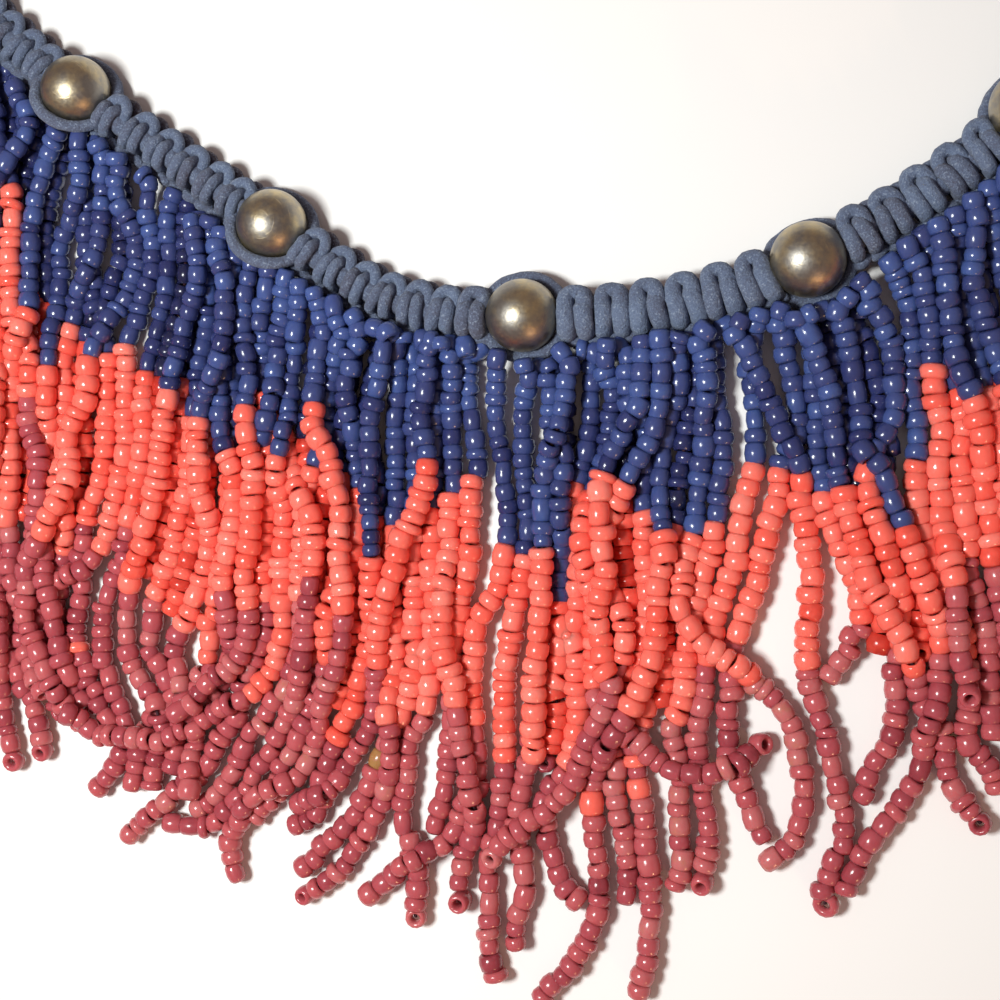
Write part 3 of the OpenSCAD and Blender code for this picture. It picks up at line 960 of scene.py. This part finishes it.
# Beads of all strands as columns
def stringBeads(strands):
    columns = {name: [] for name in
               ("home", "owner", "order", "length", "shade", "height", "fine", "under")}
    for number, strand in enumerate(strands):
        total = lineLength(strand["line"])
        sizes = beadLengths(total + 0.5)
        sizes *= (total + fringe["length"] * 0.5) / sizes.sum()
        places = np.cumsum(sizes) - sizes[0] / 2 - sizes / 2
        columns["home"].append(pointsAlong(strand["line"], places))
        columns["owner"].append(np.full(len(sizes), number))
        columns["order"].append(np.arange(len(sizes)))
        columns["length"].append(sizes)
        columns["shade"].append(np.searchsorted(strand["ends"], places))
        for name in ("height", "fine", "under"):
            columns[name].append(np.full(len(sizes), strand[name]))
    return {name: np.concatenate(parts) for name, parts in columns.items()}


# Pairs of beads of which the middles are closer than reach, near neighbours on a thread left out
def closePairs(place, owner, order, reach):
    cell = np.floor(place[:, :2] / reach).astype(np.int64)
    cell -= cell.min(axis=0) - 1
    width = cell[:, 1].max() + 3
    key = cell[:, 0] * width + cell[:, 1]
    sort = np.argsort(key, kind="stable")
    ranked = key[sort]
    first, second = [], []
    for dx, dy in ((0, 0), (0, 1), (1, -1), (1, 0), (1, 1)):
        look = key + dx * width + dy
        begin = np.searchsorted(ranked, look, "left")
        count = np.searchsorted(ranked, look, "right") - begin
        a = np.repeat(np.arange(len(place)), count)
        b = sort[np.repeat(begin - np.cumsum(count) + count, count) + np.arange(count.sum())]
        keep = a < b if dx == dy == 0 else a != b
        first.append(a[keep])
        second.append(b[keep])
    a, b = np.concatenate(first), np.concatenate(second)
    near = np.linalg.norm(place[a] - place[b], axis=1) < reach
    near &= (owner[a] != owner[b]) | (np.abs(order[a] - order[b]) > 2)
    return a[near], b[near]


def pushEach(place, index, push):
    for axis in range(3):
        place[:, axis] += np.bincount(index, push[:, axis], len(place))


# Lets the strands settle on the table and on each other, near the places where the photo has them
def settle(beads):
    home, owner, order, length = [beads[name] for name in ("home", "owner", "order", "length")]
    height, under = beads["height"], beads["under"]
    wide = fringe["bead"] * np.array(fringe["widths"])[beads["shade"]]
    fat = wide * settling["body"]
    floor = wide * (0.5 + fringe["widthSpread"]) + settling["air"]
    ceiling = np.where(under, lowerStrands["height"], np.inf)
    roots = np.clip(height + settling["rootRise"], *settling["rootHeights"])
    start = np.where(under, lowerStrands["height"], roots)
    lead = np.minimum(1.0, order / settling["rootBeads"])
    place = np.concatenate([home[:, :2], (start + (height - start) * lead)[:, None]], axis=1)
    place += rng.normal(0, settling["jitter"], place.shape)
    same = np.nonzero(owner[1:] == owner[:-1])[0]
    gap = (length[same] + length[same + 1]) / 2 + settling["air"]
    middle = same[order[same] > 0]
    samples = np.arange(0, bandLength, 0.5)
    linePoints, lineOut, lineEdge = onBand(samples), outOfBand(samples), edgeAt(samples)
    first = order == 0
    beside = np.nonzero(order < settling["bandBeads"])[0]
    for step in range(settling["steps"]):
        if step % settling["search"] == 0:
            a, b = closePairs(place, owner, order, fat.max() * settling["close"])
            reach = (fat[a] + fat[b]) / 2
            offset = place[beside, None, :2] - linePoints[None]
            nearest = np.argmin((offset ** 2).sum(axis=2), axis=1)
        place[:, 2] -= settling["fall"] * lead
        goal = home[:, :2] + home[:, 2:] * (place[:, 2] - height)[:, None]
        place[:, :2] += (goal - place[:, :2]) * settling["toChart"]
        # beads push each other apart, mostly up and down
        apart = place[b] - place[a]
        distance = np.linalg.norm(apart, axis=1) + 1e-9
        hit = distance < reach
        push = apart[hit] / distance[hit, None] * (reach - distance)[hit, None] * settling["push"]
        push[:, :2] *= settling["pushSideways"]
        pushEach(place, a[hit], -push)
        pushEach(place, b[hit], push)
        # the thread keeps its length and stays smooth in height
        for _ in range(3):
            along = place[same + 1] - place[same]
            distance = np.linalg.norm(along, axis=1) + 1e-9
            pull = along * ((distance - gap) / distance * 0.5)[:, None]
            pushEach(place, same, pull)
            pushEach(place, same + 1, -pull)
        bend = (place[middle - 1, 2] + place[middle + 1, 2]) / 2 - place[middle, 2]
        place[middle, 2] += bend * settling["straighten"]
        # out of the band
        out = ((place[beside, :2] - linePoints[nearest]) * lineOut[nearest]).sum(axis=1)
        missing = np.maximum(lineEdge[nearest] - out, 0)
        place[beside, :2] += lineOut[nearest] * missing[:, None] * settling["offBand"]
        place[first, 2] += (start[first] - place[first, 2]) * settling["toRoot"]
        place[:, 2] = np.clip(place[:, 2], floor, ceiling)
    return place


# The direction of each bead's hole
def threadAxis(place, owner, order):
    ahead = np.zeros_like(place)
    same = owner[1:] == owner[:-1]
    step = unit((place[1:] - place[:-1])[same])
    ahead[:-1][same] += step
    ahead[1:][same] += step
    ahead = unit(ahead)
    ahead[order < 4, 2] *= 0.3      # the beads by the band lie flatter
    ahead += rng.normal(0, fringe["lean"], ahead.shape)
    return unit(ahead)


# Turns the end beads that show their hole, gives the odd ones their colour, and gives each bead its
# tone: random, with painted light on the navy by the band and painted shade on strands under others
def dressBeads(beads, place, axis):
    pixels = toPhoto(place)
    owner, order, shade, fine = [beads[name] for name in ("owner", "order", "shade", "fine")]
    last = np.append(owner[1:] != owner[:-1], True)
    ends = np.nonzero(last | (order == 0))[0]
    turned = [ends[np.argmin(((pixels[ends] - spot) ** 2).sum(axis=1))] for spot in turnedAt]
    sideEnds = np.nonzero(last & ~fine)[0]
    turned = np.concatenate([turned, sideEnds[rng.random(len(sideEnds)) < sideStrands["turnedShare"]]])
    follow, lean = fringe["turned"]
    upright = axis[turned] * follow + np.array([0, 0, 1.0])
    axis[turned] = unit(upright + rng.normal(0, lean, (len(turned), 3)))
    tone = rng.normal(beadTones["middle"], beadTones["beadSpread"], len(place))
    tone += rng.normal(0, beadTones["strandSpread"], owner[-1] + 1)[owner]
    # painted light on the first navy beads by the band
    tone += np.where((shade == 0) & (order < beadTones["rootBeads"]), beadTones["rootPaintedLight"], 0)
    # painted shade: the beads of strands under others are drawn darker
    tone = tone.clip(*beadTones["range"]) + lowerStrands["tone"] * beads["under"]
    tan = (shade == 2) & ~fine & (rng.random(len(place)) < beadTones["tanShare"])
    for u, v, kind in oddAt:
        # the nearest bead, or one on top of it
        spot = np.argmin(((pixels - (u, v)) ** 2).sum(axis=1) - place[:, 2] * 20)
        shade[spot] = min(kind, 2)
        tan[spot] = kind == 3
    tone[tan] = 1.0
    return tone


# A copy of the bead at each place, its hole along the axis
def beadField(seed, place, axis, length, wide):
    points, faces = seed
    count = len(place)
    side = unit(np.cross(axis, rng.normal(size=(count, 3))))
    other = np.cross(axis, side)
    spread = fringe["widthSpread"]
    width = wide * rng.normal(1.0, spread, (count, 1, 1)).clip(1 - 2 * spread, 1 + 2 * spread)
    width *= 1 + fringe["squat"] * (fringe["length"] - length)[:, None, None]
    tall = (length / fringe["length"])[:, None, None]
    field = (points[None, :, 0:1] * side[:, None] + points[None, :, 1:2] * other[:, None]) * width
    field = field + points[None, :, 2:3] * axis[:, None] * tall + place[:, None]
    allFaces = faces[None] + (np.arange(count) * len(points))[:, None, None]
    return field.reshape(-1, 3), [allFaces.reshape(-1, 4)]


def addBeads(name, seeds, beads, place, axis, tone, wanted, wide):
    sets, tones = [], []
    for seed, kind in zip(seeds, (beads["fine"], ~beads["fine"])):
        some = wanted & kind
        if some.any():
            sets.append(beadField(seed, place[some], axis[some], beads["length"][some], wide))
            tones.append(np.repeat(tone[some], len(seed[0])))
    points, faceSets = joined(sets)
    print(name, int(wanted.sum()), "beads,", countTriangles(faceSets), "triangles")
    return addMesh(name, points, faceSets, np.concatenate(tones))


# The threads, from under the band to the end beads
def addThreads(name, place, owner):
    sets = []
    for number in np.unique(owner):
        line = place[owner == number]
        start = line[0] + (line[0] - line[1]) * 0.7
        start[2] = fringe["threadStart"]
        line = np.concatenate([[start], line])
        sets.append(sweepTubes(line[None], fringe["thread"], 4, [0.02, 0.01, 1.0]))
    points, faceSets = joined(sets)
    return addMesh(name, points, faceSets)


def makeFringe():
    strands = layStrands()
    beads = stringBeads(strands)
    place = settle(beads)
    print("strands:", len(strands), "beads:", len(place), "highest:", round(place[:, 2].max(), 1))
    owner = beads["owner"]
    axis = threadAxis(place, owner, beads["order"])
    tone = dressBeads(beads, place, axis)
    loose = np.cross(axis, rng.normal(0, fringe["loose"], axis.shape))
    loose[:, 2] = np.abs(loose[:, 2])
    beadPlace = place + loose
    roots = place[np.append(True, owner[1:] != owner[:-1]), 0]
    left = (roots < onBand(-2.3)[0])[owner]     # left of the strands at the middle brass bead
    seeds = [modelSeed(*fringe["fine"]), modelSeed(*fringe["coarse"])]
    for side, here in (("left", left), ("right", ~left)):
        for number, shade in enumerate(("navy", "coral", "brick")):
            wanted = here & (beads["shade"] == number)
            wide = fringe["widths"][number]
            piece = addBeads(shade + "_beads_" + side, seeds, beads, beadPlace, axis, tone, wanted, wide)
            finishPiece(piece, shade + "_glass", glass[number], "fringe_" + side)
        threads = addThreads("threads_" + side, place[here], owner[here])
        finishPiece(threads, "waxed_cotton", threadCotton, "fringe_" + side)


makeFringe()

# The knotted band, in mm: slim legs under hooked arches in its left half, thick legs with flat
# arches in its right half. A pair is for these two halves, unless its note says otherwise.

band = {
    "pitch": 3.75,            # along the band for one knot of two legs
    "room": (3.75, 3.95),     # from the knots to the middle of the next brass bead, and from it
    "tuck": (0.3, 0.0),       # how much nearer the knots come
    "middle": 2.45,           # height of the middle of the band
    "lift": 0.9,              # how much higher it is beside a brass bead
    "legCord": (0.67, 1.05),  # radius of the cord of the legs
    "legs": (1.94, 1.5),      # from the middle line out to the cord's middle, and up to it
    "legTop": (0.7, 0.65),    # how far the legs reach over to the inner side
    "legFlat": (0.7, 0.62),   # how flat they are outwards and up: 1 is round, less is flatter
    "legUnder": 0.85,         # how far they go down against up
    "legSpread": (0.66, 0.92),   # from the knot's middle to each leg
    "legLean": 0.05,          # how far the two spread apart towards the outer edge
    "legWave": 0.07,
    "legUneven": (0.06, 0.04),   # how much they differ outwards and up
    "legShift": (-0.42, 0.0),
    "legPoints": 26,
    "arch": (1.28, 1.06),     # half the width of the arch
    "archShift": (0.12, 0.0),
    "archSquare": (1.0, 0.6),    # 1 for a round arch, less for a squarer one
    "archStart": -0.75,       # from the middle line to the arch's first point
    "archReach": (1.6, 1.75),    # of the cord's middle over the inner edge
    "archFoot": (1.5, 0.35),  # how far the arch comes down again on its right
    "archCord": (0.62, 0.99),    # radius at the foot of the arch
    "archTop": (0.66, 0.84),  # and at its top
    "archHeight": (0.45, 1.25),
    "archDip": (0.0, -0.35),  # how much higher its middle is than its ends
    "archFall": (1.1, 0.0),   # how steeply it falls to its foot
    "archUneven": 0.05,
    "archPoints": 19,
    "legTone": (0.36, 0.5),
    "archTone": 0.5,
    "toneSpread": (0.07, 0.06),  # of legs and arches
    "backPaintedShade": 0.05,         # painted shade: the arches on the back are drawn darker, for the shade they lie in
    "backShift": (0.5, 0.0),
    "backOut": (-0.1, 0.0),
    "backHeight": -1.25,
    "past": {"step": 1.6, "out": 0.3, "rise": 0.5, "tone": 0.25},    # more, past the bead on the right
    "tuckedPaintedShade": 0.35,        # painted shade: the cords inside, the twine and the cords at the brass beads are drawn darker than the legs and arches, for the shade they lie in
    "sides": 10,
    "core": 1.3,              # radius of the cords inside
    "through": 0.75,          # radius of the cord in a brass bead
    "twine": 0.62,            # radius of the twine that ties the strands
    "twineAt": (2.7, 2.3),    # out from the middle line, and up
    "passCord": 0.7,          # radius of the cords beside a brass bead
    "passHeight": 3.3,        # of their ends, and their lowest places at the four beads in the picture:
    "passInner": (1.1, 1.1, 2.2, 1.3),
    "passOuter": (6.1, 5.7, 2.3, 1.9),
    "fuzz": 0.00024,          # metres that the cord's surface is rough
    "fuzzSize": 0.0009,
    "claspLength": 17.0,
    "claspGap": 0.6,
}


# The value at a place along the band: past the bead on the right the cord is between the two
def leftToRight(s, pair):
    return pair[0] + (pair[1] - pair[0]) * np.interp(s, [-16, 2, 30, 36], [0, 1, 1, 0.5])


# 1 where the knots close up, past the bead on the right
def pastRight(s):
    return np.interp(s, [31, 35], [0, 1])


# Height of the middle of the band
def middleAt(s):
    return band["middle"] + liftAt(s)


def liftAt(s):
    return band["lift"] * nearBead(s, 4.5, 9.0)


# [first place, last place] of each run of knots
def knotRuns():
    end = (bandLength - band["claspLength"]) / 2 - band["claspGap"]
    before, after = band["room"]
    starts = [-end] + [b + after - leftToRight(b, band["tuck"]) for b in beadAt]
    stops = [b - before + leftToRight(b, band["tuck"]) for b in beadAt] + [end]
    return list(zip(starts, stops))


# A wave with its round tops pressed flat
def flattened(wave, power):
    return np.sign(wave) * np.abs(wave) ** power


# Cords press against a brass bead and never run into it
def outOfBrass(line, radius):
    for s in beadAt:
        away = line - np.append(onBand(s), brassRadius)
        distance = np.linalg.norm(away, axis=1, keepdims=True)
        line = line + away / distance * np.maximum(brassRadius + radius * 0.85 - distance, 0)
    return line


# One leg of a knot: a flat loop round the band that stops short of the inner edge on top
def knotLeg(s, side, pitch):
    turn = np.arange(band["legPoints"]) * 2 * np.pi / band["legPoints"]
    across, up = band["legs"]
    flatOut, flatUp = band["legFlat"]
    uneven = band["legUneven"]
    c = flattened(np.cos(turn), flatOut) * (across + rng.normal(0, uneven[0]))
    inner = leftToRight(s, band["legTop"]) + 0.5 * (1 - flattened(np.sin(turn), 0.5))
    c = np.where(c < 0, c / across * inner, c)
    z = flattened(np.sin(turn), flatUp) * np.where(turn < np.pi, up, up * band["legUnder"])
    z = z + rng.normal(0, uneven[1])
    spread = leftToRight(s, band["legSpread"]) * pitch / band["pitch"]
    lean = rng.normal(0, uneven[0]) + band["legLean"] * side
    a = side * spread + leftToRight(s, band["legShift"]) + lean * c
    a = a + band["legWave"] * np.sin(turn * 2 + s)
    line = besideBand(s + a, c, middleAt(s) + z)
    return outOfBrass(line, leftToRight(s, band["legCord"]))


# The arch of a knot over the inner edge, and once more lower down on the back of the band
def knotArch(s, back):
    along = np.linspace(0, 1, band["archPoints"])
    over = np.radians(np.interp(along, [0, 0.12, 0.75, 1], [-20, 0, 180, 180]))
    foot = np.interp(along, [0.75, 1], [0, 1]) * leftToRight(s, band["archFoot"])
    width = leftToRight(s, band["arch"])
    reach = leftToRight(s, band["archReach"]) + rng.normal(0, band["archUneven"])
    square = leftToRight(s, band["archSquare"])
    a = -flattened(np.cos(over), square) * width + leftToRight(s, band["archShift"])
    c = band["archStart"] - flattened(np.sin(over), square) * reach + foot
    if back:
        a = a + leftToRight(s, band["backShift"]) + band["past"]["step"] * pastRight(s)
        c = c + leftToRight(s, band["backOut"]) + band["past"]["out"] * pastRight(s)
        z = band["past"]["rise"] * pastRight(s) + band["backHeight"]
    else:
        z = leftToRight(s, band["archHeight"]) + np.sin(over) * leftToRight(s, band["archDip"])
        z = z - leftToRight(s, band["archFall"]) * foot
    line = besideBand(s + a, c, middleAt(s) + z)
    radii = [leftToRight(s, band["archCord"]), leftToRight(s, band["archTop"])]
    swell = np.interp(np.sin(over), [0, 1], radii)
    return outOfBrass(line, swell[0]), swell


# The cords that pass a brass bead on one side
def passingCord(s, side, low):
    t, n, middle = alongBand(s), outOfBand(s), onBand(s)
    sweep = np.radians(np.linspace(-84, 84, 21))
    z = low + (band["passHeight"] - low) * (1 - np.cos(sweep))
    reach = np.sqrt((brassRadius + 0.05 + band["passCord"]) ** 2 - (brassRadius - z) ** 2)
    out = np.sin(sweep)[:, None] * t + side * np.cos(sweep)[:, None] * n
    return np.concatenate([middle + reach[:, None] * out, z[:, None]], axis=1)


# The legs and arches of all knots
def tieKnots():
    legs = {"line": [], "radius": [], "tone": [], "way": []}
    arches = {"line": [], "radius": [], "tone": []}
    for start, stop in knotRuns():
        count = max(2, round((stop - start) / band["pitch"]))
        pitch = (stop - start) / count
        for k in range(count):
            s = start + (k + 0.5) * pitch
            for side in (-1, 1):
                legs["line"].append(knotLeg(s, side, pitch))
                legs["radius"].append(np.full(band["legPoints"], leftToRight(s, band["legCord"])))
                legs["tone"].append(leftToRight(s, band["legTone"]))
                legs["way"].append([np.append(alongBand(s), 0.0)])
            for back in (False, True):
                line, swell = knotArch(s, back)
                arches["line"].append(line)
                arches["radius"].append(swell)
                # painted shade on the arches on the back, a little less past the bead on the right
                backPaintedShade = band["backPaintedShade"] + band["past"]["tone"] * pastRight(s)
                arches["tone"].append(backPaintedShade if back else band["archTone"])
    return [{name: np.array(rows) for name, rows in kind.items()} for kind in (legs, arches)]


# The cords inside the band and the twine along its outer edge
def runCords():
    cores, twines = [], []
    out, height = band["twineAt"]
    for start, stop in knotRuns():
        run = np.linspace(start - 0.3, stop + 0.3, 24)
        cores.append(besideBand(run, 0.2, middleAt(run)))
        ripple = np.linspace(start - 0.4, stop + 0.4, 90)
        c = out + 0.14 * np.sin(ripple * 2 * np.pi / 1.8)
        z = height + 0.25 * np.cos(ripple * 3.1) + liftAt(ripple) * 0.6
        twines.append(besideBand(ripple, c, z))
    return np.array(cores), np.array(twines)


# The cords at the brass beads: past them and through them
def beadCords():
    passing, through = [], []
    for number, s in enumerate(beadAt):
        inPicture = min(max(number - 2, 0), 3)
        passing.append(passingCord(s, -1, band["passInner"][inPicture]))
        passing.append(passingCord(s, 1, band["passOuter"][inPicture]))
        through.append([np.append(onBand(s) + k * 5.0 * alongBand(s), brassRadius) for k in (-1, 0, 1)])
    return np.array(passing), np.array(through)


# Makes the cord's surface uneven
def roughen(piece):
    cloud = bpy.data.textures.new("fuzz", "CLOUDS")
    cloud.noise_scale = band["fuzzSize"]
    rough = piece.modifiers.new("fuzz", "DISPLACE")
    rough.texture = cloud
    rough.strength = band["fuzz"]
    bpy.ops.object.select_all(action="DESELECT")
    piece.select_set(True)
    bpy.context.view_layer.objects.active = piece
    bpy.ops.object.modifier_apply(modifier="fuzz")


def makeBand():
    legs, arches = tieKnots()
    cores, twines = runCords()
    passing, through = beadCords()
    upright = [0.02, 0.03, 1.0]
    sides, counts = band["sides"], (band["legPoints"], band["archPoints"])
    sets = [
        sweepTubes(legs["line"], legs["radius"], sides, legs["way"], closed=True),
        sweepTubes(arches["line"], arches["radius"], sides, upright),
        sweepTubes(twines, band["twine"], 7, upright),
        sweepTubes(cores, band["core"], 12, upright),
        sweepTubes(passing, band["passCord"], sides, upright),
        sweepTubes(through, band["through"], sides, upright)
    ]
    tone = []
    for kind, spread, count in zip((legs, arches), band["toneSpread"], counts):
        tone.append(np.repeat(kind["tone"] + rng.normal(0, spread, len(kind["tone"])), count * sides))
    # painted shade on the cords inside the band, the twine and the cords at the brass beads
    tone += [np.full(len(points), band["tuckedPaintedShade"]) for points, faces in sets[2:]]
    points, faceSets = joined(sets)
    piece = addMesh("knotted_band", points, faceSets, np.concatenate(tone))
    roughen(piece)
    print("band:", len(legs["line"]), "legs,", countTriangles(faceSets), "triangles")
    finishPiece(piece, "waxed_cotton", cotton, "macrame_band")


makeBand()

# The brass beads and the clasp keep their CAD shape
for name in ["brass_bead_%d" % (k + 1) for k in range(len(beadAt))] + ["clasp"]:
    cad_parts[name].data.materials.clear()
    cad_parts[name].data.materials.append(brass)

# Floor and light, in metres

studio = {
    "key": {"from": (-0.093, -0.008, 0.24), "size": 0.065, "power": 0.765, "tint": (0.97, 1.0, 0.985)},
    "warm": {"from": (0.293, -0.498, 0.165), "size": 0.05, "power": 0.5, "tint": (1.0, 0.56, 0.28)},
    "aim": (0.03, 0.03, 0.0),     # like the places above, from the middle of the picture
    "sky": 0.26,
    "skyTint": (1.0, 0.75, 0.69, 1.0),
    "floor": 6,
}


def addLamp(name):
    values = studio[name]
    data = bpy.data.lights.new(name, "AREA")
    data.shape = "DISK"
    data.size = values["size"]
    data.energy = values["power"]
    data.color = values["tint"]
    lamp = bpy.data.objects.new(name, data)
    lamp.location = Vector((origin[0] * mm, origin[1] * mm, 0)) + Vector(values["from"])
    way = Vector(studio["aim"]) - Vector(values["from"])
    lamp.rotation_euler = way.to_track_quat("-Z", "Y").to_euler()
    bpy.context.scene.collection.objects.link(lamp)


def addStudio():
    bpy.ops.object.select_all(action="DESELECT")
    bpy.ops.mesh.primitive_plane_add(size=studio["floor"], location=(0, 0, 0))
    floor = bpy.context.object
    floor.name = "floor"
    floor.data.materials.append(plain("paleFloor"))
    addLamp("key")
    addLamp("warm")
    world = bpy.data.worlds.new("sky")
    world.use_nodes = True
    background = world.node_tree.nodes["Background"]
    background.inputs["Color"].default_value = studio["skyTint"]
    background.inputs["Strength"].default_value = studio["sky"]
    bpy.context.scene.world = world
    bpy.context.scene.view_settings.view_transform = "Standard"


addStudio()
print("studio set")
